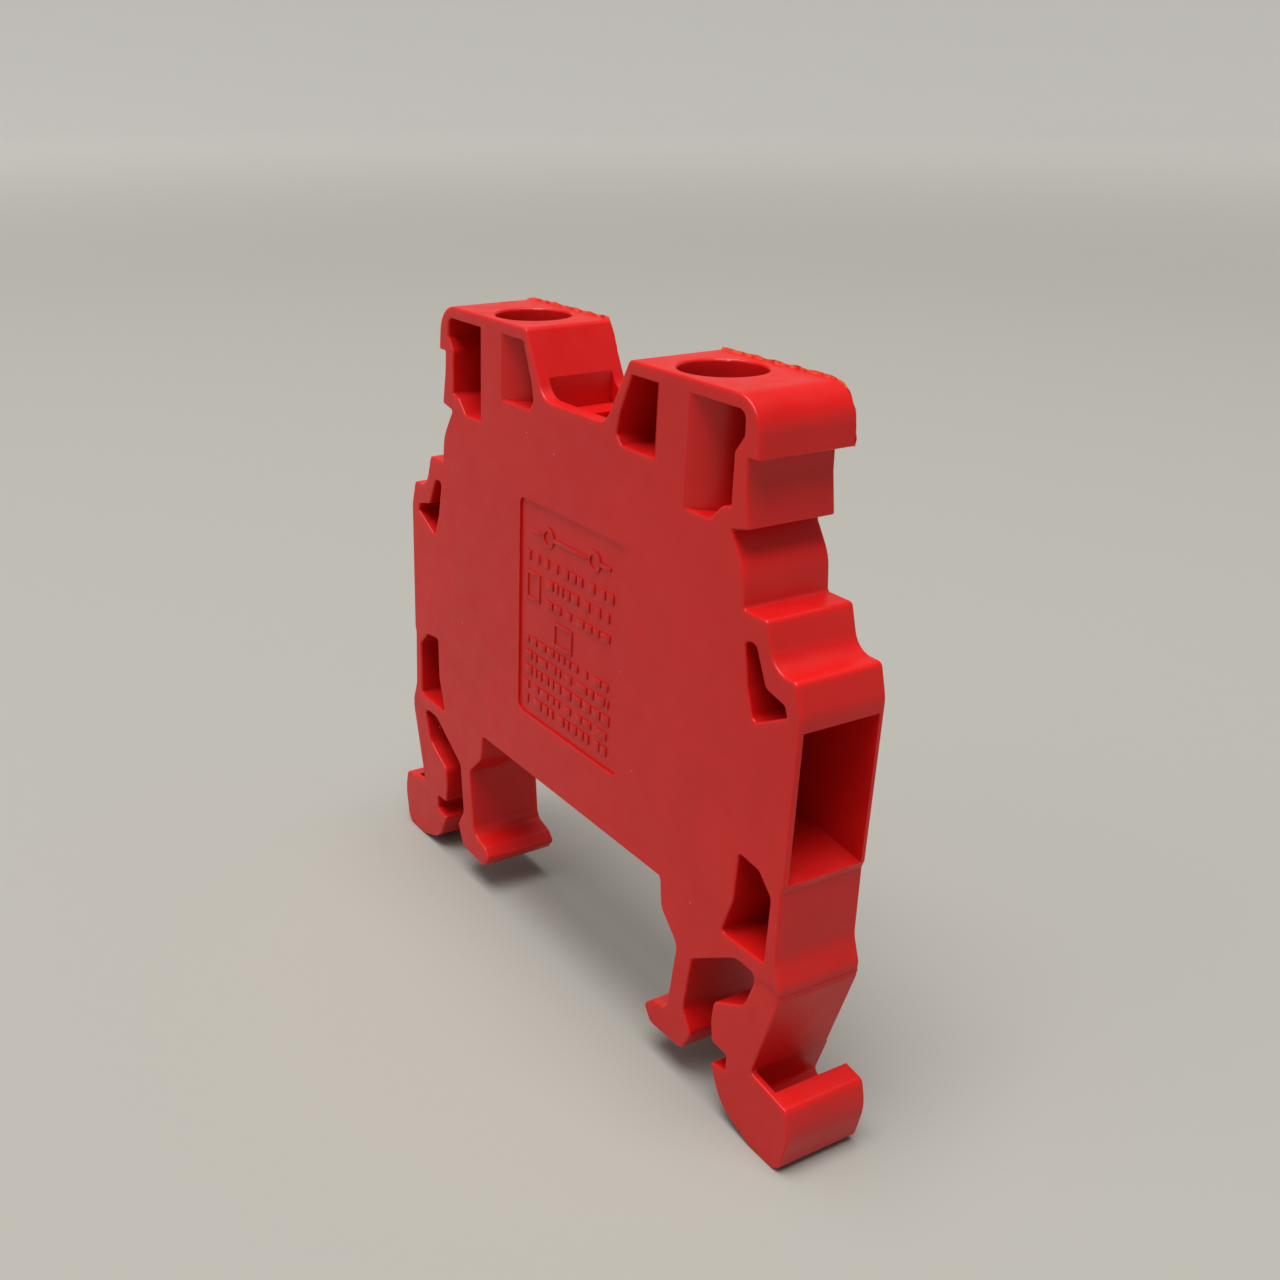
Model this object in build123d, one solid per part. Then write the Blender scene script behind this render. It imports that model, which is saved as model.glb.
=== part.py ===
"""DIN rail terminal block: moulded polyamide housing, two flexing rail feet, and the clamping metalwork.

X runs along the block, from one wire entry to the other. Y runs along the rail: the closed label side is at
-Y and the open side is at +Y. Z is up, away from the rail. The origin is under the middle of the block, at the
height of the undersides of the feet.
"""

import os
from math import radians, sin, tan

from build123d import *

# Overall sizes, in mm; the towers' land stands out from the rest of the open side
THICKNESS = 5.6
LAND_STAND = 0.5
TOP = 41.9
UNDERSIDE = 12.7
WALL_X = 21.05
EDGE_ROUND = 0.12

# Walls and the open side's hollows
LABEL_WALL = 0.7
WEB = 0.7
NEAR = -(THICKNESS + LAND_STAND) / 2
FAR = NEAR + THICKNESS
LAND_FAR = FAR + LAND_STAND
CORE_FLOOR = NEAR + LABEL_WALL

# Screw towers and valley between them
SCREW_X = 9.5
TUBE_OUTER = 3.3
TUBE_BORE = 2.4
RIM_ROUND = 0.15
HEAD_BORE = 2.15
HEAD_BORE_HIGH = 34.6
SHOULDER_BORE = 1.6
SHOULDER_LOW = 31.5
SHOULDER_HIGH = 31.95
VALLEY = 38.05
SLOT_HALF = 3.92
SLOT_FLOOR = 37.2
SLOT_WALL = 0.8
SHAFT_HALF_X = 2.0
SHAFT_HALF_Y = 1.6
LAND_X = 14.4
LAND_LOW = 34.2

# Wire entries
ENTRY_LOW = 17.6
ENTRY_HIGH = 26.35
ENTRY_HALF = 2.5
ENTRY_Y = NEAR + THICKNESS / 2
THROAT_X = 12.2
THROAT_LOW = 19.6
THROAT_HIGH = 24.3
THROAT_HALF = 1.7

# Rail feet: a leg flexes about its neck, and its notch takes the rail's edge
NECK_X = 20.55
NECK_Z = 9.7
NECK_ROUND = 1.5
NECK_GAP = 0.06
NOTCH_X = 17.75
GROOVE_WEB = 0.4

# Label panel
PANEL_HALF = 5.78
PANEL_LOW = 17.0
PANEL_HIGH = 31.6
PANEL_DEPTH = 0.14

# Current bar
BAR_LOW = 23.8
BAR_THICK = 1.0
BAR_HALF_LENGTH = 12.2
BAR_END_HALF = 1.25
BAR_MIDDLE_HALF = 1.9
BAR_MIDDLE_REACH = 6.3
BAR_TAP = 1.25
SERRATION = 0.25

# Clamp cages: bent steel sleeves that the screws draw up
CAGE_LENGTH = 5.2
CAGE_HALF_WIDTH = 2.0
CAGE_SIDE = 0.45
CAGE_LOW = 19.4
CAGE_FLOOR = 0.8
CAGE_TOP_LOW = 26.6
CAGE_TOP_THICK = 1.8
CAGE_TAP = 1.5
CAGE_CLEARANCE = 0.25

# Clamp screws
SCREW_SHANK = 1.45
SCREW_HEAD = 2.0
SCREW_HEAD_LOW = SHOULDER_HIGH + 0.05
SCREW_HEAD_HIGH = SCREW_HEAD_LOW + 2.0
SCREW_SLOT_WIDTH = 0.6
SCREW_SLOT_DEPTH = 0.9

# Half outline of the moulding, from the valley over the tower and down the wire entry to the foot's hook,
# back along the rail notch and slit, round the inner post and up to the underside. Each point is x, z and,
# where the corner is round, its radius.
HALF_OUTLINE = [
    (3.3, VALLEY, 1.4),
    (5.41, TOP, 0.35),
    (16.18, TOP, 1.9),
    (16.46, 38.91, 0.1),
    (15.63, 38.91, 0.12),
    (15.69, 37.6, 3.0),
    (16.06, 35.38, 0.12),
    (14.74, 35.12, 0.12),
    (15.99, 33.2, 2.6),
    (16.2, 31.31, 0.2),
    (18.02, 31.31, 0.3),
    (18.79, 28.92, 1.35),
    (20.51, 28.92, 0.35),
    (WALL_X, 27.13, 2.0),
    (WALL_X, ENTRY_LOW, 0.08),
    (20.9, 17.17, 0.08),
    (21.0, 12.96, 2.0),
    (21.55, 11.49, 0.85),
    (21.51, 10.55, 0.85),
    (19.89, 4.92, 0.2),
    (22.95, 4.45, 0.45),
    (23.38, 2.86, 3.5),
    (22.82, 0.0, 0.95),
    (20.36, 0.0, 2.5),
    (17.54, 1.01, 2.6),
    (16.41, 3.29, 0.2),
    (NOTCH_X, 3.53, 0.2),
    (NOTCH_X, 4.64, 0.2),
    (16.42, 4.71, 0.2),
    (16.18, 6.14, 3.0),
    (16.32, 7.45, 0.6),
    (18.84, 8.82, 1.25),
    (19.66, 11.28, 0.45),
    (17.82, 11.34, 1.55),
    (14.06, 8.98, 0.5),
    (13.59, 5.19, 0.8),
    (14.46, 3.82, 0.5),
    (13.72, 2.23, 0.85),
    (10.52, 2.12, 0.6),
    (9.76, 3.08, 0.35),
    (10.41, 3.71, 0.5),
    (12.0, 4.13, 0.85),
    (12.61, 9.08, 0.85),
    (10.9, 10.76, 1.05),
    (10.64, UNDERSIDE, 0.25),
]

# Blind pockets that open on the label side
TOWER_INNER_POCKET = [
    (5.66, 41.13, 0.15),
    (SCREW_X, 41.13),
    (SCREW_X, 37.16),
    (4.89, 37.16, 0.15),
    (4.4, 37.7, 0.3),
    (4.64, 38.81, 1.0),
]
TOWER_OUTER_POCKET = [
    (SCREW_X, 41.13),
    (15.17, 41.13, 0.5),
    (15.23, 39.92, 0.35),
    (14.57, 39.01, 0.5),
    (14.6, 36.24, 0.2),
    (13.9, 36.09, 0.2),
    (12.98, 35.2, 0.12),
    (SCREW_X, 35.2),
]
LEDGE_POCKET = [
    (16.46, 29.78, 0.3),
    (17.35, 29.78, 0.4),
    (18.31, 27.78, 0.6),
    (19.8, 27.43, 0.25),
    (20.05, 26.87, 0.15),
    (17.6, 25.59, 0.35),
    (16.94, 27.33, 0.8),
]
FOOT_POCKET = [
    (17.35, 17.8, 0.25),
    (19.03, 17.59, 0.6),
    (20.14, 16.5, 0.6),
    (20.09, 12.38, 0.2),
    (16.41, 12.28, 0.25),
    (17.23, 14.73, 1.2),
]

# Release groove between the leg and the hook's lip, open on the far side and upwards
HOOK_GROOVE = [
    (19.92, 5.0),
    (19.22, 2.6, 0.3),
    (19.85, 1.95, 0.45),
    (21.2, 2.75, 0.9),
    (21.62, 4.2),
    (21.62, 6.0),
    (20.25, 6.0),
]

# Hollows that open on the far side, between the ribs: low and high corners in x and z
CENTRE_POCKET = (0.45, 13.8, 5.8, 22.7)
UPPER_POCKET = (2.7, 26.5, 5.8, 35.9)
LOWER_POCKET = (6.85, 13.8, 15.4, 17.7)
OUTER_POCKET = (13.4, 26.3, 15.2, 33.8)


def outline(corners):
    """A face in local X and Y from corner points, each rounded by an arc of its third value."""
    spots = [Vector(corner[0], corner[1]) for corner in corners]
    rounds = []
    for i, corner in enumerate(corners):
        back = (spots[i - 1] - spots[i]).normalized()
        ahead = (spots[(i + 1) % len(spots)] - spots[i]).normalized()
        radius = corner[2] if len(corner) > 2 else 0.0
        half_angle = radians(back.get_angle(ahead) / 2)
        run = radius / tan(half_angle)
        bisector = (back + ahead).normalized()
        middle = spots[i] + bisector * (radius / sin(half_angle) - radius)
        rounds.append((spots[i] + back * run, middle, spots[i] + ahead * run, radius))
    edges = []
    for i, (first, middle, last, radius) in enumerate(rounds):
        if radius:
            edges.append(ThreePointArc(first, middle, last))
        edges.append(Line(last, rounds[(i + 1) % len(rounds)][0]))
    return make_face(edges)


def slab(face, low, high):
    """The solid that a face in X and Z sweeps from one Y to another."""
    return Pos(0, high, 0) * extrude(Plane.XZ * face, amount=high - low)


def block(low, high):
    """A box from its low corner to its high corner."""
    size = [b - a for a, b in zip(low, high)]
    middle = [(a + b) / 2 for a, b in zip(low, high)]
    return Pos(*middle) * Box(*size)


def both(solid):
    """A solid together with its mirror image on the other half of the block."""
    return solid + mirror(solid, Plane.YZ)


def silhouette():
    other_half = [(-corner[0], *corner[1:]) for corner in reversed(HALF_OUTLINE)]
    return outline(HALF_OUTLINE + other_half)


def foot_zone(radius):
    """The part of the outline's plane that belongs to the right foot, ending in an arc about its neck."""
    below = outline([(15.3, -1), (15.3, 8.45), (18.55, 10.1), (19.25, NECK_Z), (25, NECK_Z), (25, -1)])
    return below + Pos(NECK_X, NECK_Z) * Circle(radius)


def at_neck(edge):
    """Whether an edge is one of the arcs about a foot's neck."""
    if edge.geom_type != GeomType.CIRCLE:
        return False
    from_neck = Vector(abs(edge.arc_center.X) - NECK_X, 0, edge.arc_center.Z - NECK_Z)
    return from_neck.length < 0.01


def round_near_edges(solid, plane_y, radius):
    """Rounds the moulding's outer edges on one side face, but not the arcs that meet at a neck."""
    rim = [face for face in solid.faces().filter_by(Axis.Y) if abs(face.center().Y - plane_y) < 0.01]
    edges = [edge for face in rim for edge in face.edges() if not at_neck(edge)]
    return fillet(edges, radius)


def rail_foot():
    """The right leg with its rail hook, below the flexing neck."""
    face = silhouette() & foot_zone(NECK_ROUND)
    solid = slab(face, NEAR, FAR)
    for plane_y in (NEAR, FAR):
        solid = round_near_edges(solid, plane_y, EDGE_ROUND)
    return solid - slab(outline(HOOK_GROOVE), NEAR + GROOVE_WEB, FAR + 1)


def screw_tube():
    """The tube in which the right screw's head turns, cut level with the side faces."""
    tube = Pos(SCREW_X, 0, (SHOULDER_LOW + TOP) / 2) * Cylinder(TUBE_OUTER, TOP - SHOULDER_LOW)
    return tube & block((0, NEAR, 0), (SCREW_X * 2, FAR, TOP))


def near_pockets():
    """The right half's blind pockets on the label side, kept clear of the screw tube."""
    pockets = [TOWER_INNER_POCKET, TOWER_OUTER_POCKET, LEDGE_POCKET, FOOT_POCKET]
    cuts = [slab(outline(pocket), NEAR - 1, FAR - WEB) for pocket in pockets]
    return [cuts[0] - screw_tube(), cuts[1] - screw_tube(), cuts[2], cuts[3]]


def far_pockets():
    """The right half's hollows between the ribs on the open side."""
    cuts = []
    for left, low, right, high in (CENTRE_POCKET, UPPER_POCKET, LOWER_POCKET, OUTER_POCKET):
        face = outline([(left, low, 0.3), (right, low, 0.3), (right, high, 0.3), (left, high, 0.3)])
        cuts.append(slab(face, CORE_FLOOR, FAR + 1))
    return cuts


def cage_chamber():
    """The space in which the right cage slides, open on the far side."""
    half = CAGE_LENGTH / 2 + CAGE_CLEARANCE
    return block((SCREW_X - half, CORE_FLOOR, CAGE_LOW - 0.6), (SCREW_X + half, FAR + 1, SHOULDER_LOW))


def bar_channel():
    """The channel that the current bar is pushed into, over both cages' chambers."""
    return block((-7.2, CORE_FLOOR, BAR_LOW), (7.2, FAR + 1, BAR_LOW + BAR_THICK + 0.35))


def screw_bore():
    """The right screw's way in: the screwdriver's bore, the head's, and the narrow one under its shoulder."""
    rim = TUBE_BORE + RIM_ROUND
    profile = make_face(
        [
            Line((0, SHOULDER_LOW - 1), (SHOULDER_BORE, SHOULDER_LOW - 1)),
            Line((SHOULDER_BORE, SHOULDER_LOW - 1), (SHOULDER_BORE, SHOULDER_HIGH)),
            Line((SHOULDER_BORE, SHOULDER_HIGH), (HEAD_BORE, SHOULDER_HIGH)),
            Line((HEAD_BORE, SHOULDER_HIGH), (HEAD_BORE, HEAD_BORE_HIGH)),
            Line((HEAD_BORE, HEAD_BORE_HIGH), (TUBE_BORE, HEAD_BORE_HIGH + 0.25)),
            Line((TUBE_BORE, HEAD_BORE_HIGH + 0.25), (TUBE_BORE, TOP - RIM_ROUND)),
            RadiusArc((TUBE_BORE, TOP - RIM_ROUND), (rim, TOP), RIM_ROUND),
            Line((rim, TOP), (rim, TOP + 1)),
            Line((rim, TOP + 1), (0, TOP + 1)),
            Line((0, TOP + 1), (0, SHOULDER_LOW - 1)),
        ]
    )
    return Pos(SCREW_X, 0, 0) * revolve(Plane.XZ * profile, Axis.Z)


def wire_entry():
    """The right wire funnel: it widens evenly from the throat beside the cage to past the end wall's mouth."""
    reach = (WALL_X + 1 - THROAT_X) / (WALL_X - THROAT_X)
    low = THROAT_LOW + (ENTRY_LOW - THROAT_LOW) * reach
    high = THROAT_HIGH + (ENTRY_HIGH - THROAT_HIGH) * reach
    half = THROAT_HALF + (ENTRY_HALF - THROAT_HALF) * reach
    throat = outline([(-THROAT_HALF, THROAT_LOW), (THROAT_HALF, THROAT_LOW), (THROAT_HALF, THROAT_HIGH),
                      (-THROAT_HALF, THROAT_HIGH)])
    mouth = outline([(-half, low), (half, low), (half, high), (-half, high)])
    return Pos(0, ENTRY_Y, 0) * loft([Plane.YZ.offset(THROAT_X) * throat, Plane.YZ.offset(WALL_X + 1) * mouth])


def bridge_well():
    """The slot in the valley, and the shaft and well below it for a cross-connection screw."""
    half = LAND_FAR - SLOT_WALL
    slot = block((-SLOT_HALF, -half, SLOT_FLOOR), (SLOT_HALF, half, TOP + 1))
    shaft = block((-SHAFT_HALF_X, -SHAFT_HALF_Y, LAND_LOW), (SHAFT_HALF_X, SHAFT_HALF_Y, SLOT_FLOOR + 1))
    well = block((-1.85, CORE_FLOOR, BAR_LOW), (1.85, FAR + 1, SLOT_FLOOR - 0.9))
    return [slot, shaft, well]


def tower_land():
    """The raised land of the open side, which spans both towers and the valley above the ribs."""
    half = [corner for corner in HALF_OUTLINE[:4]] + [(LAND_X, HALF_OUTLINE[3][1], 0.3), (LAND_X, LAND_LOW, 0.3)]
    other_half = [(-corner[0], *corner[1:]) for corner in reversed(half)]
    return round_near_edges(slab(outline(half + other_half), FAR - EDGE_ROUND * 2, LAND_FAR), LAND_FAR, EDGE_ROUND)


def housing():
    face = silhouette() - foot_zone(NECK_ROUND + NECK_GAP) - mirror(foot_zone(NECK_ROUND + NECK_GAP), Plane.YZ)
    solid = slab(face, NEAR, FAR)
    for cut in near_pockets():
        solid -= both(cut)
    solid = round_near_edges(solid, NEAR, EDGE_ROUND)
    solid = round_near_edges(solid, FAR, EDGE_ROUND)
    solid += tower_land()
    for cut in far_pockets() + [cage_chamber(), screw_bore(), wire_entry()]:
        solid -= both(cut)
    for cut in bridge_well() + [bar_channel()]:
        solid -= cut
    panel = block((-PANEL_HALF, NEAR - 1, PANEL_LOW), (PANEL_HALF, NEAR + PANEL_DEPTH, PANEL_HIGH))
    panel = fillet(panel.edges().filter_by(Axis.Y), 0.5)
    return solid - panel


def current_bar():
    """The tinned bar that joins the clamps, with a tapped middle and grooves under each end."""
    high = BAR_LOW + BAR_THICK
    ends = block((-BAR_HALF_LENGTH, -BAR_END_HALF, BAR_LOW), (BAR_HALF_LENGTH, BAR_END_HALF, high))
    middle = block((-BAR_MIDDLE_REACH, -BAR_MIDDLE_HALF, BAR_LOW), (BAR_MIDDLE_REACH, BAR_MIDDLE_HALF, high))
    middle = fillet(middle.edges().filter_by(Axis.Z), 0.4)
    bar = ends + middle - Pos(0, 0, high) * Cylinder(BAR_TAP, BAR_THICK * 3)
    groove = Pos(SCREW_X, 0, BAR_LOW) * Rot(0, 45, 0) * Box(SERRATION, THICKNESS, SERRATION)
    for offset in (-1.5, -0.75, 0, 0.75, 1.5):
        bar -= both(Pos(offset, 0, 0) * groove)
    return bar


def clamp_cage():
    """The right clamp cage: a sleeve round the bar and the wire, tapped in its doubled top."""
    high = CAGE_TOP_LOW + CAGE_TOP_THICK
    half = CAGE_LENGTH / 2
    sleeve = block((SCREW_X - half, -CAGE_HALF_WIDTH, CAGE_LOW), (SCREW_X + half, CAGE_HALF_WIDTH, high))
    sleeve = fillet(sleeve.edges().filter_by(Axis.X), 0.45)
    inner = CAGE_HALF_WIDTH - CAGE_SIDE
    hollow = block((0, -inner, CAGE_LOW + CAGE_FLOOR), (SCREW_X * 2, inner, CAGE_TOP_LOW))
    tap = Pos(SCREW_X, 0, high) * Cylinder(CAGE_TAP, CAGE_TOP_THICK * 3)
    fold = block((0, -0.04, CAGE_TOP_LOW + CAGE_TOP_THICK / 2), (SCREW_X * 2, 0.04, high + 1))
    cage = sleeve - hollow - tap - fold
    ridge = Pos(SCREW_X, 0, CAGE_LOW + CAGE_FLOOR) * Rot(0, 45, 0) * Box(SERRATION, inner * 2, SERRATION)
    for offset in (-1.5, 0, 1.5):
        cage += Pos(offset, 0, 0) * ridge
    return cage


def clamp_screw():
    """The right clamp screw: its point bears on the bar and its slotted head turns on the shoulder."""
    tip = BAR_LOW + BAR_THICK
    length = SCREW_HEAD_LOW - tip
    shank = Pos(SCREW_X, 0, tip + length / 2) * Cylinder(SCREW_SHANK, length)
    shank = chamfer(shank.edges().sort_by(Axis.Z)[0], 0.3)
    height = SCREW_HEAD_HIGH - SCREW_HEAD_LOW
    head = Pos(SCREW_X, 0, SCREW_HEAD_LOW + height / 2) * Cylinder(SCREW_HEAD, height)
    head = fillet(head.edges().sort_by(Axis.Z)[-1], 0.2)
    slot = Pos(SCREW_X, 0, SCREW_HEAD_HIGH) * Box(SCREW_HEAD * 3, SCREW_SLOT_WIDTH, SCREW_SLOT_DEPTH * 2)
    return shank + head - slot


def main():
    os.makedirs("parts", exist_ok=True)
    nodes = {"housing": housing(), "current_bar": current_bar()}
    for name, solid in (("rail_foot", rail_foot()), ("clamp_cage", clamp_cage()), ("clamp_screw", clamp_screw())):
        nodes[f"{name}_right"] = solid
        nodes[f"{name}_left"] = mirror(solid, Plane.YZ)
    for name, solid in nodes.items():
        export_step(solid, f"parts/{name}.step")


main()
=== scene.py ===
"""DIN rail terminal block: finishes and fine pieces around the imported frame.

The frame gives the housing, the two rail feet and the clamping metalwork. This script gives them
their finishes, and adds the plastic that closes each flexing neck, the raised marks on the label
panel, the moulding flash along the open side's rim and the screws' threads. Lengths are in metres,
unless a comment says otherwise, in the frame's axes: X along the block, Y along the rail with the
closed label side at -Y, Z up.
"""

import math
import random

import bmesh
import bpy
from bpy.props import FloatProperty, FloatVectorProperty, PointerProperty
from mathutils import Matrix, Vector, noise


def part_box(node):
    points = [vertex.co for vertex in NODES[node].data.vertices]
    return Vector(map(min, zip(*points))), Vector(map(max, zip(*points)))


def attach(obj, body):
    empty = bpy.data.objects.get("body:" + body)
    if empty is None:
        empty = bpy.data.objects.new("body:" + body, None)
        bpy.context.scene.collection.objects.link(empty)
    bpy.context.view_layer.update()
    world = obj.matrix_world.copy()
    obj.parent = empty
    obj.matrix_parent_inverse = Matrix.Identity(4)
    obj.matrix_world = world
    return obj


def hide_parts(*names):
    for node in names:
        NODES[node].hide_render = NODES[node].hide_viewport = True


bl_info = {
    "name": "DIN Rail Terminal Block",
    "version": (1, 0, 0),
    "blender": (4, 5, 0),
    "location": "View3D > Sidebar > Terminal Block",
    "description": "Finishes and fine pieces of a slim feed-through terminal block",
    "category": "Object",
}

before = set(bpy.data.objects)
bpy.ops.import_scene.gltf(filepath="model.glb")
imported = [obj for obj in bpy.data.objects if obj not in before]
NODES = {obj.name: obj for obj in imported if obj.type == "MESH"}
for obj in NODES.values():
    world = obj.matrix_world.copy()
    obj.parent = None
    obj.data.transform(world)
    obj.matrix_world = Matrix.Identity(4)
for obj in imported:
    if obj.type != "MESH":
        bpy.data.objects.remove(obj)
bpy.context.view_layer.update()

MM = 0.001
SIDES = {"right": 1, "left": -1}
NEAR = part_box("housing")[0].y
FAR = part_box("housing")[1].y
FOOT_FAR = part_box("rail_foot_right")[1].y
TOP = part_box("housing")[1].z

# The right neck's axis in X and Z and its inner radius, in mm, and its gap's two ends, in degrees
NECK = (20.55, 9.7)
NECK_ROUND = 1.5
NECK_START = 49.6
NECK_END = 135.4

# The label panel's top edge, the depth of its floor and the left end of its rows, in mm
PANEL_HIGH = 31.6
PANEL_DEPTH = 0.14
ROW_START = -5.0
# How far the marks reach into the panel's floor
MARK_ROOT = 0.03 * MM

# The clamp screws' distance from the middle, their heads' undersides and their tips, in mm
SCREW_X = 9.5
SCREW_HEAD_LOW = 32.0
SCREW_TIP = 24.8
STEPS_PER_TURN = 28

# The right tower's flat top from inner to outer end, and the round that follows it, in mm
TOWER_TOP = 41.9
TOP_INNER = 5.6
TOP_OUTER = 14.28
TOP_ROUND = 1.9
TOP_ROUND_Z = 40.0


def linear(hex_code):
    """An sRGB hex colour as scene-linear red, green and blue."""
    channels = [int(hex_code[i : i + 2], 16) / 255 for i in (0, 2, 4)]
    return [c / 12.92 if c <= 0.04045 else ((c + 0.055) / 1.055) ** 2.4 for c in channels]


def per_metre(size_mm):
    """A texture node's scale for a pattern whose features are this size."""
    return 1 / (size_mm * MM)


class TerminalBlockColours(bpy.types.PropertyGroup):
    """Colours of the block's plastic and metal."""

    polyamide: FloatVectorProperty(
        name="Polyamide",
        description="Colour of the moulded housing and feet",
        default=linear("CE120F"),
        subtype="COLOR",
        min=0,
        max=1,
    )
    polyamide_deep: FloatVectorProperty(
        name="Polyamide, dense",
        description="Colour where the pigment lies thicker",
        default=linear("B80C0B"),
        subtype="COLOR",
        min=0,
        max=1,
    )
    # Painted glow: an orange that stands in for light passing through the thin flash, not a colour of
    # the plastic
    flash: FloatVectorProperty(
        name="Flash",
        description="Colour of the thin, light-passing flash on the rim",
        default=linear("F06A45"),
        subtype="COLOR",
        min=0,
        max=1,
    )
    zinc: FloatVectorProperty(
        name="Zinc plating",
        description="Colour of the plated clamp cages and screws",
        default=linear("CDD0D3"),
        subtype="COLOR",
        min=0,
        max=1,
    )
    tin: FloatVectorProperty(
        name="Tin plating",
        description="Colour of the tinned current bar",
        default=linear("D5CDBB"),
        subtype="COLOR",
        min=0,
        max=1,
    )


class TerminalBlockSizes(bpy.types.PropertyGroup):
    """Sizes of the fine pieces."""

    neck_gap: FloatProperty(
        name="Neck gap",
        description="Width of the arc gap that each neck web fills",
        default=0.06 * MM,
        subtype="DISTANCE",
        unit="LENGTH",
        precision=6,
    )
    edge_round: FloatProperty(
        name="Edge round",
        description="Radius of the moulding's outer edges",
        default=0.12 * MM,
        subtype="DISTANCE",
        unit="LENGTH",
        precision=6,
    )
    mark_height: FloatProperty(
        name="Mark height",
        description="How far the marks stand up from the label panel's floor",
        default=0.08 * MM,
        subtype="DISTANCE",
        unit="LENGTH",
        precision=6,
    )
    flash_reach: FloatProperty(
        name="Flash reach",
        description="Widest reach of the flash beyond the rim",
        default=0.24 * MM,
        subtype="DISTANCE",
        unit="LENGTH",
        precision=6,
    )
    thread_pitch: FloatProperty(
        name="Thread pitch",
        description="Rise of the screw's thread in one turn",
        default=0.5 * MM,
        subtype="DISTANCE",
        unit="LENGTH",
        precision=6,
    )


# Materials


def add(tree, kind, settings=None, links=None):
    """Adds a node, with settings for its properties and free inputs, and links into its other inputs."""
    made = tree.nodes.new(kind)
    for name, value in (settings or {}).items():
        if isinstance(name, str) and hasattr(made, name):
            setattr(made, name, value)
        else:
            made.inputs[name].default_value = value
    for name, source in (links or {}).items():
        tree.links.new(source, made.inputs[name])
    return made


def soft_noise(tree, place, size_mm, detail, distortion=0):
    """The value of a noise texture whose features are this size."""
    settings = {"Scale": per_metre(size_mm), "Detail": detail, "Distortion": distortion}
    return add(tree, "ShaderNodeTexNoise", settings, {"Vector": place}).outputs["Fac"]


def blank_material(name):
    """A new material, its node tree, its output node and the object's own coordinates."""
    material = bpy.data.materials.new(name)
    material.use_nodes = True
    material.node_tree.nodes.clear()
    output = add(material.node_tree, "ShaderNodeOutputMaterial")
    place = add(material.node_tree, "ShaderNodeTexCoord").outputs["Object"]
    return material, material.node_tree, output, place


def moulded_polyamide(colours):
    """Pigmented, moulded polyamide 6.6: satin, faintly mottled, and a little light passes in."""
    material, tree, output, place = blank_material("Moulded polyamide")
    # Slow swirls of denser pigment, as the melt flowed
    swirl = soft_noise(tree, place, 7, 3, 0.8)
    body = add(
        tree,
        "ShaderNodeMix",
        {"data_type": "RGBA", "A": (*colours.polyamide, 1), "B": (*colours.polyamide_deep, 1)},
        {"Factor": swirl},
    )
    # Pale nicks and dust, a tenth of a millimetre across and well apart
    grain = add(
        tree,
        "ShaderNodeTexVoronoi",
        {"Scale": per_metre(1.9), "Randomness": 1},
        {"Vector": place},
    )
    rare = soft_noise(tree, place, 2.6, 0)
    near_seed = add(
        tree,
        "ShaderNodeMapRange",
        {"From Min": 0.022, "From Max": 0.036, "To Min": 1, "To Max": 0},
        {"Value": grain.outputs["Distance"]},
    )
    allowed = add(
        tree,
        "ShaderNodeMapRange",
        {"From Min": 0.5, "From Max": 0.56, "To Min": 0, "To Max": 0.75},
        {"Value": rare},
    )
    speck = add(
        tree,
        "ShaderNodeMath",
        {"operation": "MULTIPLY"},
        {0: near_seed.outputs["Result"], 1: allowed.outputs["Result"]},
    )
    colour = add(
        tree,
        "ShaderNodeMix",
        {"data_type": "RGBA", "B": (*linear("F09A90"), 1)},
        {"Factor": speck.outputs["Value"], "A": body.outputs["Result"]},
    )
    # Rubbed patches shine differently from the mould's own satin
    rubbed = soft_noise(tree, place, 1.6, 4)
    roughness = add(
        tree,
        "ShaderNodeMapRange",
        {"From Min": 0.3, "From Max": 0.7, "To Min": 0.34, "To Max": 0.46},
        {"Value": rubbed},
    )
    # Spark-eroded mould skin, drawn at 0.12 mm so that it shows, over slow sink marks
    skin = soft_noise(tree, place, 0.12, 2)
    sink = soft_noise(tree, place, 3.2, 1)
    slow = add(tree, "ShaderNodeBump", {"Strength": 0.5, "Distance": 0.04 * MM}, {"Height": sink})
    fine = add(
        tree,
        "ShaderNodeBump",
        {"Strength": 0.35, "Distance": 0.004 * MM},
        {"Height": skin, "Normal": slow.outputs["Normal"]},
    )
    shader = add(
        tree,
        "ShaderNodeBsdfPrincipled",
        {
            "IOR": 1.53,
            "Subsurface Weight": 0.4,
            "Specular IOR Level": 0.32,
            "Subsurface Radius": (1.0, 0.12, 0.06),
            "Subsurface Scale": 1.1 * MM,
        },
        {
            "Base Color": colour.outputs["Result"],
            "Roughness": roughness.outputs["Result"],
            "Normal": fine.outputs["Normal"],
        },
    )
    tree.links.new(shader.outputs["BSDF"], output.inputs["Surface"])
    return material


def flash_with_painted_glow(colours):
    """The same polyamide squeezed into a film at the parting line, with a painted orange glow in
    patches, for light passing through so thin a film.
    """
    material, tree, output, place = blank_material("Polyamide flash with painted glow")
    # Painted glow: patches where the film's colour turns to the orange of light passing through it
    ragged = soft_noise(tree, place, 0.5, 3)
    thin = add(tree, "ShaderNodeMapRange", {"From Min": 0.4, "From Max": 0.6}, {"Value": ragged})
    colour = add(
        tree,
        "ShaderNodeMix",
        {"data_type": "RGBA", "A": (*colours.polyamide, 1), "B": (*colours.flash, 1)},
        {"Factor": thin.outputs["Result"]},
    )
    shader = add(
        tree,
        "ShaderNodeBsdfPrincipled",
        {"IOR": 1.53, "Roughness": 0.38},
        {"Base Color": colour.outputs["Result"]},
    )
    tree.links.new(shader.outputs["BSDF"], output.inputs["Surface"])
    return material


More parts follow.
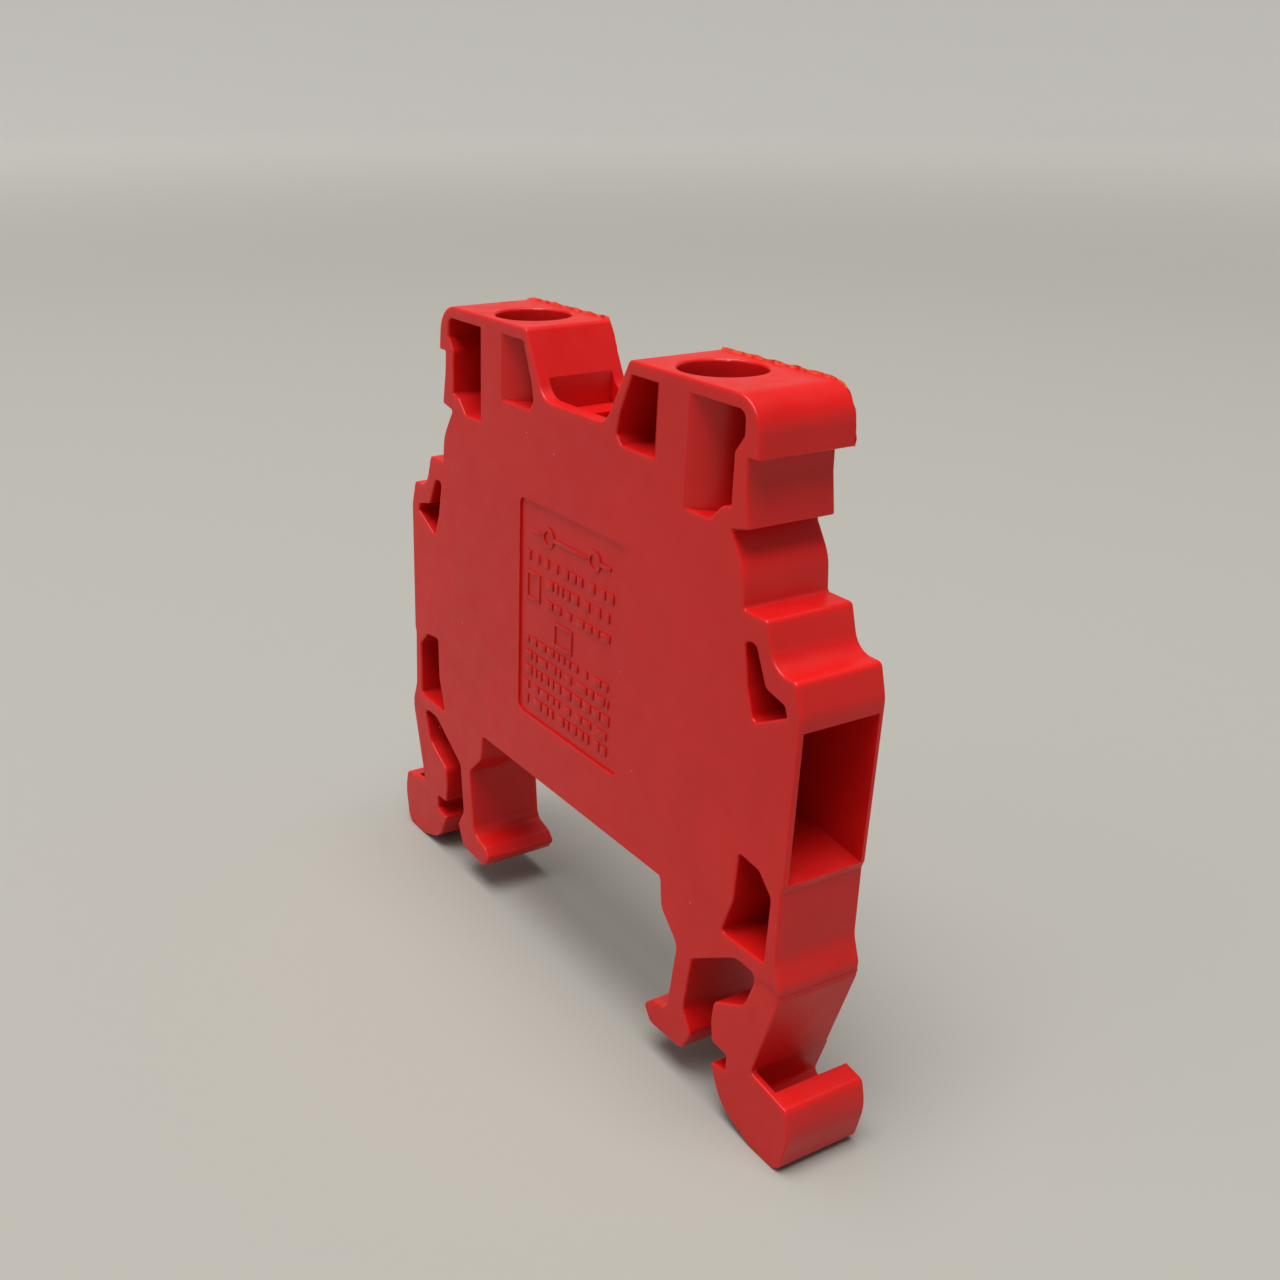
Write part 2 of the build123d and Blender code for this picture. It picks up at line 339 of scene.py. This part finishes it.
def plated_metal(name, colour, roughness, drawn_along, grain_mm):
    """Bright electroplate over drawn or rolled stock: a gloss broken by fine lines along it."""
    material, tree, output, place = blank_material(name)
    length_over_width = 25
    stretch = [per_metre(grain_mm)] * 3
    stretch["XYZ".index(drawn_along)] = per_metre(grain_mm * length_over_width)
    lines_at = add(tree, "ShaderNodeMapping", {"Scale": stretch}, {"Vector": place})
    lines = add(
        tree,
        "ShaderNodeTexNoise",
        {"Scale": 1, "Detail": 3},
        {"Vector": lines_at.outputs["Vector"]},
    )
    cloud = soft_noise(tree, place, 1.4, 3)
    tint = add(
        tree,
        "ShaderNodeMix",
        {"data_type": "RGBA", "A": (*colour, 1), "B": (*[c * 0.72 for c in colour], 1)},
        {"Factor": cloud},
    )
    gloss = add(
        tree,
        "ShaderNodeMapRange",
        {
            "From Min": 0.25,
            "From Max": 0.75,
            "To Min": roughness - 0.08,
            "To Max": roughness + 0.1,
        },
        {"Value": lines.outputs["Fac"]},
    )
    relief = add(
        tree,
        "ShaderNodeBump",
        {"Strength": 0.3, "Distance": 0.006 * MM},
        {"Height": lines.outputs["Fac"]},
    )
    shader = add(
        tree,
        "ShaderNodeBsdfPrincipled",
        {"Metallic": 1},
        {
            "Base Color": tint.outputs["Result"],
            "Roughness": gloss.outputs["Result"],
            "Normal": relief.outputs["Normal"],
        },
    )
    tree.links.new(shader.outputs["BSDF"], output.inputs["Surface"])
    return material


def matt_floor():
    """Matt board: no gloss to mirror the block, and paler far out, a painted light that makes up for the
    light that is less there.
    """
    material, tree, output, place = blank_material("Matt board with painted light")
    # Painted light: the board grows paler with distance from the middle, standing in for the light that
    # falls off far out
    away = add(tree, "ShaderNodeVectorMath", {"operation": "LENGTH"}, {0: place})
    up = add(
        tree,
        "ShaderNodeMapRange",
        {"interpolation_type": "SMOOTHSTEP", "From Min": 0.3, "From Max": 1.35},
        {"Value": away.outputs["Value"]},
    )
    board_colour_and_painted_light = add(
        tree,
        "ShaderNodeMix",
        {"data_type": "RGBA", "A": (*linear("999791"), 1), "B": (*linear("E4E2DD"), 1)},
        {"Factor": up.outputs["Result"]},
    )
    shader = add(
        tree,
        "ShaderNodeBsdfPrincipled",
        {"Roughness": 0.85, "IOR": 1.4},
        {"Base Color": board_colour_and_painted_light.outputs["Result"]},
    )
    tree.links.new(shader.outputs["BSDF"], output.inputs["Surface"])
    return material


def shared(name, make):
    """The material of that name, made the first time that it is asked for."""
    return bpy.data.materials.get(name) or make()


def polyamide():
    """The housing's plastic, which its feet, neck webs and marks share."""
    colours = bpy.context.scene.terminal_block_colours
    return shared("Moulded polyamide", lambda: moulded_polyamide(colours))


def plated(name, *look):
    """The plated metal of that name, made the first time that it is asked for."""
    return shared(name, lambda: plated_metal(name, *look))


# Meshes


def object_of(name, bm, material, smooth_below=30):
    """A new object at the origin from a bmesh, shaded smooth except over edges sharper than an angle."""
    bmesh.ops.recalc_face_normals(bm, faces=bm.faces)
    for face in bm.faces:
        face.smooth = True
    for edge in bm.edges:
        between_two = len(edge.link_faces) == 2
        edge.smooth = between_two and edge.calc_face_angle() < math.radians(smooth_below)
    mesh = bpy.data.meshes.new(name)
    bm.to_mesh(mesh)
    bm.free()
    mesh.materials.append(material)
    made = bpy.data.objects.new(name, mesh)
    bpy.context.scene.collection.objects.link(made)
    return made


def paint(node, material):
    """Gives a CAD node its finish."""
    NODES[node].data.materials.clear()
    NODES[node].data.materials.append(material)


def verts_of(made):
    """The vertices in a bmesh operator's mixed geometry."""
    return [item for item in made if isinstance(item, bmesh.types.BMVert)]


def neck_web(side, sizes):
    """The sliver of plastic that closes the arc gap between a leg and its foot."""
    lap = 0.012 * MM
    inner = NECK_ROUND * MM - lap
    outer = NECK_ROUND * MM + sizes.neck_gap + lap
    start = math.radians(NECK_START)
    sweep = math.radians(NECK_END - NECK_START)
    centre = Vector((NECK[0] * MM, NEAR, NECK[1] * MM))
    ray = Vector((math.cos(start), 0, math.sin(start)))
    bm = bmesh.new()
    edge = bm.edges.new([bm.verts.new(centre + ray * inner), bm.verts.new(centre + ray * outer)])
    geom = [*edge.verts, edge]
    bmesh.ops.spin(bm, geom=geom, cent=centre, axis=(0, -1, 0), angle=sweep, steps=32)
    made = bmesh.ops.extrude_face_region(bm, geom=bm.faces[:])["geom"]
    bmesh.ops.translate(bm, verts=verts_of(made), vec=(0, FOOT_FAR - NEAR, 0))
    end_turns = (start, start + sweep)
    same_turn = 0.001

    def turn_of(vert):
        """A vertex's angle about the neck's axis."""
        return math.atan2(vert.co.z - centre.z, vert.co.x - centre.x)

    corners = [
        edge
        for edge in bm.edges
        if abs(edge.verts[0].co.y - edge.verts[1].co.y) < lap
        and any(
            all(abs(turn_of(vert) - turn) < same_turn for vert in edge.verts) for turn in end_turns
        )
    ]
    if len(corners) != 4:
        raise RuntimeError("a neck web should have four corner edges to round")
    bmesh.ops.bevel(
        bm,
        geom=corners,
        offset=sizes.edge_round,
        affect="EDGES",
        segments=4,
        profile=0.5,
        material=-1,
    )
    if side < 0:
        bmesh.ops.scale(bm, vec=(-1, 1, 1), verts=bm.verts)
    return bm


def box_mark(bm, low, high, sizes):
    """One raised bar on the label panel, from its low to its high corner in X and Z, in mm."""
    floor = NEAR + PANEL_DEPTH * MM
    depth = sizes.mark_height + MARK_ROOT
    size = Vector(((high[0] - low[0]) * MM, depth, (high[1] - low[1]) * MM))
    middle_x = (low[0] + high[0]) / 2 * MM
    middle_z = (low[1] + high[1]) / 2 * MM
    middle = Vector((middle_x, floor + MARK_ROOT - size.y / 2, middle_z))
    placed = Matrix.Translation(middle) @ Matrix.Diagonal((*size, 1))
    made = bmesh.ops.create_cube(bm, size=1, matrix=placed)
    edges = {edge for vert in made["verts"] for edge in vert.link_edges}
    front = [edge for edge in edges if sum(v.co.y for v in edge.verts) / 2 < floor]
    bmesh.ops.bevel(
        bm, geom=front, offset=0.035 * MM, affect="EDGES", segments=2, profile=0.5, material=-1
    )


def ring_mark(bm, centre, radius, width, sizes):
    """One raised ring on the label panel, round a point in X and Z, in mm."""
    floor = NEAR + PANEL_DEPTH * MM
    front = floor - sizes.mark_height
    middle = Vector((centre[0] * MM, 0, centre[1] * MM))
    back = floor + MARK_ROOT
    inner = radius - width / 2
    outer = radius + width / 2
    section = [(inner, back), (inner, front), (outer, front), (outer, back)]
    corners = [bm.verts.new(middle + Vector((r * MM, y, 0))) for r, y in section]
    profile = [bm.edges.new((corners[i], corners[(i + 1) % 4])) for i in range(4)]
    bmesh.ops.spin(
        bm,
        geom=[*corners, *profile],
        cent=middle,
        axis=(0, 1, 0),
        angle=math.tau,
        steps=40,
        use_merge=True,
    )


def label_marks(sizes):
    """Raised marks on the label panel: the feed-through symbol, with rows of plain bars below."""
    bm = bmesh.new()
    # The symbol, in mm: a line between two rings, and a stub beyond each ring
    symbol_z = PANEL_HIGH - 1.9
    half_line = 0.13
    for side in (-1, 1):
        ring_mark(bm, (side * 2.55, symbol_z), 0.55, 2 * half_line, sizes)
        left, right = sorted((side * 3.1, side * 4.3))
        box_mark(bm, (left, symbol_z - half_line), (right, symbol_z + half_line), sizes)
    box_mark(bm, (-2.0, symbol_z - half_line), (2.0, symbol_z + half_line), sizes)
    # Rows of bars, in mm: each row's distance below the panel's top, its height and its left end
    draw = random.Random(7)
    beside_square = -2.6
    rows = (
        (3.6, 0.62, ROW_START),
        (4.9, 0.62, beside_square),
        (6.2, 0.5, beside_square),
        (9.3, 0.5, ROW_START),
        (10.35, 0.55, ROW_START),
        (11.4, 0.62, ROW_START),
        (12.5, 0.5, ROW_START),
        (13.5, 0.62, ROW_START),
    )
    for drop, height, x in rows:
        end = 4.9 - draw.uniform(0, 0.6)
        z = PANEL_HIGH - drop
        while x < end:
            length = draw.uniform(0.32, 1.05)
            box_mark(bm, (x, z - height / 2), (min(x + length, end), z + height / 2), sizes)
            x += length + draw.choice((0.22, 0.22, 0.7))
    # Outlined squares beside the rows, as boxes for hand marking
    line = 0.2
    squares = (
        ((ROW_START, PANEL_HIGH - 6.5), (-3.4, PANEL_HIGH - 4.6)),
        ((-1.7, PANEL_HIGH - 8.7), (0.4, PANEL_HIGH - 7.1)),
    )
    for low, high in squares:
        box_mark(bm, low, (low[0] + line, high[1]), sizes)
        box_mark(bm, (high[0] - line, low[1]), high, sizes)
        box_mark(bm, (low[0] + line, low[1]), (high[0] - line, low[1] + line), sizes)
        box_mark(bm, (low[0] + line, high[1] - line), (high[0] - line, high[1]), sizes)
    return bm


def flash_path():
    """The right tower's rim, valley to lip: points' X and Z, in mm, and their way out in X and Z."""
    points = [(4.55, 40.3, -0.88, 0.48), (5.05, 41.2, -0.88, 0.48), (TOP_INNER, TOWER_TOP, -0.2, 1)]
    top_steps = 24
    for i in range(1, top_steps + 1):
        points.append((TOP_INNER + (TOP_OUTER - TOP_INNER) * i / top_steps, TOWER_TOP, 0, 1))
    round_steps = 13
    for i in range(1, round_steps):
        turn = math.radians(90 * i / round_steps)
        out_x, out_z = math.sin(turn), math.cos(turn)
        points.append((TOP_OUTER + TOP_ROUND * out_x, TOP_ROUND_Z + TOP_ROUND * out_z, out_x, out_z))
    points += [(16.2 + 0.24 * i / 6, 39.95 - 1.0 * i / 6, 1, 0.1) for i in range(7)]
    return points


def flash_strip(side, sizes):
    """A ragged film of plastic that stands out from the tower's rim on the open side."""
    path = flash_path()
    rooted_mm = 0.16
    inset = 0.05 * MM
    lean = 0.03 * MM
    bm = bmesh.new()
    verts = bmesh.ops.create_grid(bm, x_segments=len(path) - 1, y_segments=2, size=0.5)["verts"]
    for vert in verts:
        station = round((vert.co.x + 0.5) * (len(path) - 1))
        rank = round((vert.co.y + 0.5) * 2)
        x, z, out_x, out_z = path[station]
        ragged = 0.5 + 0.5 * noise.noise(Vector((station * 0.45, side * 7.0, 0)))
        ends = min(1, station / 2, (len(path) - 1 - station) / 2)
        reach = (0.25 + 0.75 * ragged) * ends * sizes.flash_reach
        outward = Vector((out_x, 0, out_z))
        root = Vector((x * MM, FAR - inset, z * MM)) - outward * rooted_mm * MM
        rise = (0, 0.5, 1)[rank]
        vert.co = root + outward * (rooted_mm * MM + reach) * rise + Vector((0, lean * rise, 0))
    bmesh.ops.solidify(bm, geom=bm.faces[:], thickness=0.045 * MM)
    if side < 0:
        bmesh.ops.scale(bm, vec=(-1, 1, 1), verts=bm.verts)
    return bm


def threaded_screw(side, sizes):
    """A clamp screw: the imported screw's head, above a cut thread that ends in a plain point."""
    bm = bmesh.new()
    bm.from_mesh(NODES["clamp_screw_" + side].data)
    bmesh.ops.remove_doubles(bm, verts=bm.verts, dist=0.001 * MM)
    seat = Vector((0, 0, SCREW_HEAD_LOW * MM + 0.002 * MM))
    everything = bm.verts[:] + bm.edges[:] + bm.faces[:]
    bmesh.ops.bisect_plane(
        bm, geom=everything, plane_co=seat, plane_no=(0, 0, 1), clear_inner=True
    )
    bmesh.ops.holes_fill(bm, edges=[edge for edge in bm.edges if edge.is_boundary])
    middle = SIDES[side] * SCREW_X * MM
    core = 1.17 * MM
    crest = 1.44 * MM
    low = SCREW_TIP * MM
    high = SCREW_HEAD_LOW * MM
    shank = Matrix.Translation((middle, 0, (low + high) / 2))
    bmesh.ops.create_cone(
        bm,
        cap_ends=True,
        segments=48,
        radius1=core,
        radius2=core,
        depth=high - low,
        matrix=shank,
    )
    pitch = sizes.thread_pitch
    turns = math.floor((high - low - 1.0 * MM) / pitch)
    start = low + 0.45 * MM
    # The thread's section: radii, and heights as shares of the pitch
    root = core - 0.05 * MM
    half_root = 0.42
    half_crest = 0.08
    section = [(root, -half_root), (crest, -half_crest), (crest, half_crest), (root, half_root)]
    corners = [bm.verts.new((middle + r, 0, start + share * pitch)) for r, share in section]
    profile = [bm.edges.new((corners[i], corners[(i + 1) % 4])) for i in range(4)]
    bmesh.ops.spin(
        bm,
        geom=[*corners, *profile],
        cent=(middle, 0, 0),
        axis=(0, 0, 1),
        dvec=(0, 0, pitch / STEPS_PER_TURN),
        angle=math.tau * turns,
        steps=turns * STEPS_PER_TURN,
    )
    bmesh.ops.holes_fill(bm, edges=[edge for edge in bm.edges if edge.is_boundary])
    return bm


# Operators


class TERMINALBLOCK_OT_housing(bpy.types.Operator):
    """Give the housing and its feet their plastic, and close the two necks"""

    bl_idname = "terminal_block.housing"
    bl_label = "Finish Housing and Feet"

    def execute(self, context):
        material = polyamide()
        sizes = context.scene.terminal_block_sizes
        for node in ("housing", "rail_foot_left", "rail_foot_right"):
            paint(node, material)
        for side, sign in SIDES.items():
            web = object_of("neck_web_" + side, neck_web(sign, sizes), material)
            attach(web, "housing")
        return {"FINISHED"}


class TERMINALBLOCK_OT_label_marks(bpy.types.Operator):
    """Raise the generic marks on the label panel"""

    bl_idname = "terminal_block.label_marks"
    bl_label = "Add Label Marks"

    def execute(self, context):
        sizes = context.scene.terminal_block_sizes
        marks = object_of("label_marks", label_marks(sizes), polyamide())
        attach(marks, "housing")
        return {"FINISHED"}


class TERMINALBLOCK_OT_flash(bpy.types.Operator):
    """Add the ragged moulding flash along both towers' rims"""

    bl_idname = "terminal_block.flash"
    bl_label = "Add Moulding Flash"

    def execute(self, context):
        colours = context.scene.terminal_block_colours
        sizes = context.scene.terminal_block_sizes
        material = shared("Polyamide flash with painted glow", lambda: flash_with_painted_glow(colours))
        for side, sign in SIDES.items():
            strip = object_of("rim_flash_" + side, flash_strip(sign, sizes), material)
            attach(strip, "housing")
        return {"FINISHED"}


class TERMINALBLOCK_OT_clamps(bpy.types.Operator):
    """Plate the current bar and the clamp cages, and cut the screws' threads"""

    bl_idname = "terminal_block.clamps"
    bl_label = "Finish Clamps"

    def execute(self, context):
        colours = context.scene.terminal_block_colours
        sizes = context.scene.terminal_block_sizes
        tinned = plated("Tinned brass", colours.tin, 0.34, "X", 0.09)
        bent = plated("Zinc-plated steel strip", colours.zinc, 0.3, "Z", 0.12)
        turned = plated("Zinc-plated turned steel", colours.zinc, 0.26, "Z", 0.2)
        paint("current_bar", tinned)
        for side in SIDES:
            paint("clamp_cage_" + side, bent)
            screw = object_of("threaded_screw_" + side, threaded_screw(side, sizes), turned)
            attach(screw, "clamp_screw_" + side)
            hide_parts("clamp_screw_" + side)
        return {"FINISHED"}


def area_light(name, place, aim, size, power, colour):
    """A square soft light that shines from one point to another."""
    data = bpy.data.lights.new(name, "AREA")
    data.shape = "SQUARE"
    data.size = size
    data.energy = power
    data.color = colour
    lamp = bpy.data.objects.new(name, data)
    lamp.location = place
    lamp.rotation_euler = (Vector(aim) - Vector(place)).to_track_quat("-Z", "Y").to_euler()
    bpy.context.scene.collection.objects.link(lamp)


def floor_sweep():
    """A round floor whose far rim curves up all round, so that no horizon shows."""
    flat = 1.2
    rise = 0.8
    bm = bmesh.new()
    middle = bm.verts.new((0, 0, 0))
    foot = bm.verts.new((flat, 0, 0))
    chain = [bm.edges.new((middle, foot))]
    last = foot
    curve_steps = 12
    for step in range(1, curve_steps + 1):
        turn = math.radians(90 * step / curve_steps)
        new = bm.verts.new((flat + rise * math.sin(turn), 0, rise * (1 - math.cos(turn))))
        chain.append(bm.edges.new((last, new)))
        last = new
    geom = [*bm.verts, *chain]
    bmesh.ops.spin(
        bm,
        geom=geom,
        cent=(0, 0, 0),
        axis=(0, 0, 1),
        angle=math.tau,
        steps=72,
        use_merge=True,
    )
    bmesh.ops.remove_doubles(bm, verts=bm.verts, dist=0.01 * MM)
    return bm


class TERMINALBLOCK_OT_stage(bpy.types.Operator):
    """Set the floor, the soft lights and the camera"""

    bl_idname = "terminal_block.stage"
    bl_label = "Set Stage"

    def execute(self, context):
        floor = object_of("floor", floor_sweep(), matt_floor(), 180)
        middle = (0, 0, TOP / 2)
        area_light("Ceiling light", (0.1, -0.2, 1.3), middle, 0.9, 27.5, (1, 0.99, 0.97))
        area_light("Window light", (-0.35, -1.2, 0.8), middle, 0.9, 2.9, (0.97, 0.98, 1))
        world = bpy.data.worlds.new("Studio")
        world.use_nodes = True
        background = world.node_tree.nodes["Background"]
        background.inputs["Color"].default_value = (0.9, 0.9, 0.9, 1)
        background.inputs["Strength"].default_value = 0.2
        context.scene.world = world
        context.scene.view_settings.view_transform = "Standard"
        data = bpy.data.cameras.new("Camera")
        data.sensor_width = 36
        data.lens = 39.49
        data.shift_x = 0.1251
        data.shift_y = 0.0413
        data.clip_start = 0.005
        data.clip_end = 10
        camera = bpy.data.objects.new("Camera", data)
        camera.location = (0.06727, -0.04653, 0.05659)
        camera.rotation_euler = [math.radians(angle) for angle in (65.606, 0.121, 60.898)]
        context.scene.collection.objects.link(camera)
        context.scene.camera = camera
        return {"FINISHED"}


class TERMINALBLOCK_PT_panel(bpy.types.Panel):
    """Sizes, colours and steps of the terminal block"""

    bl_idname = "TERMINALBLOCK_PT_panel"
    bl_label = "Terminal Block"
    bl_space_type = "VIEW_3D"
    bl_region_type = "UI"
    bl_category = "Terminal Block"

    def draw(self, context):
        for group in (context.scene.terminal_block_colours, context.scene.terminal_block_sizes):
            for name in group.__annotations__:
                self.layout.prop(group, name)
        for step in STEPS:
            self.layout.operator(step.bl_idname)


STEPS = (
    TERMINALBLOCK_OT_housing,
    TERMINALBLOCK_OT_label_marks,
    TERMINALBLOCK_OT_flash,
    TERMINALBLOCK_OT_clamps,
    TERMINALBLOCK_OT_stage,
)
CLASSES = (TerminalBlockColours, TerminalBlockSizes, *STEPS, TERMINALBLOCK_PT_panel)


def register():
    """Registers the classes, and gives every scene its colours and sizes."""
    for cls in CLASSES:
        bpy.utils.register_class(cls)
    bpy.types.Scene.terminal_block_colours = PointerProperty(type=TerminalBlockColours)
    bpy.types.Scene.terminal_block_sizes = PointerProperty(type=TerminalBlockSizes)


def unregister():
    """Takes the colours, the sizes and the classes away again."""
    del bpy.types.Scene.terminal_block_sizes
    del bpy.types.Scene.terminal_block_colours
    for cls in reversed(CLASSES):
        bpy.utils.unregister_class(cls)


def main():
    """Builds the whole block and its stage."""
    register()
    bpy.ops.terminal_block.housing()
    bpy.ops.terminal_block.label_marks()
    bpy.ops.terminal_block.flash()
    bpy.ops.terminal_block.clamps()
    bpy.ops.terminal_block.stage()


if __name__ == "__main__":
    main()
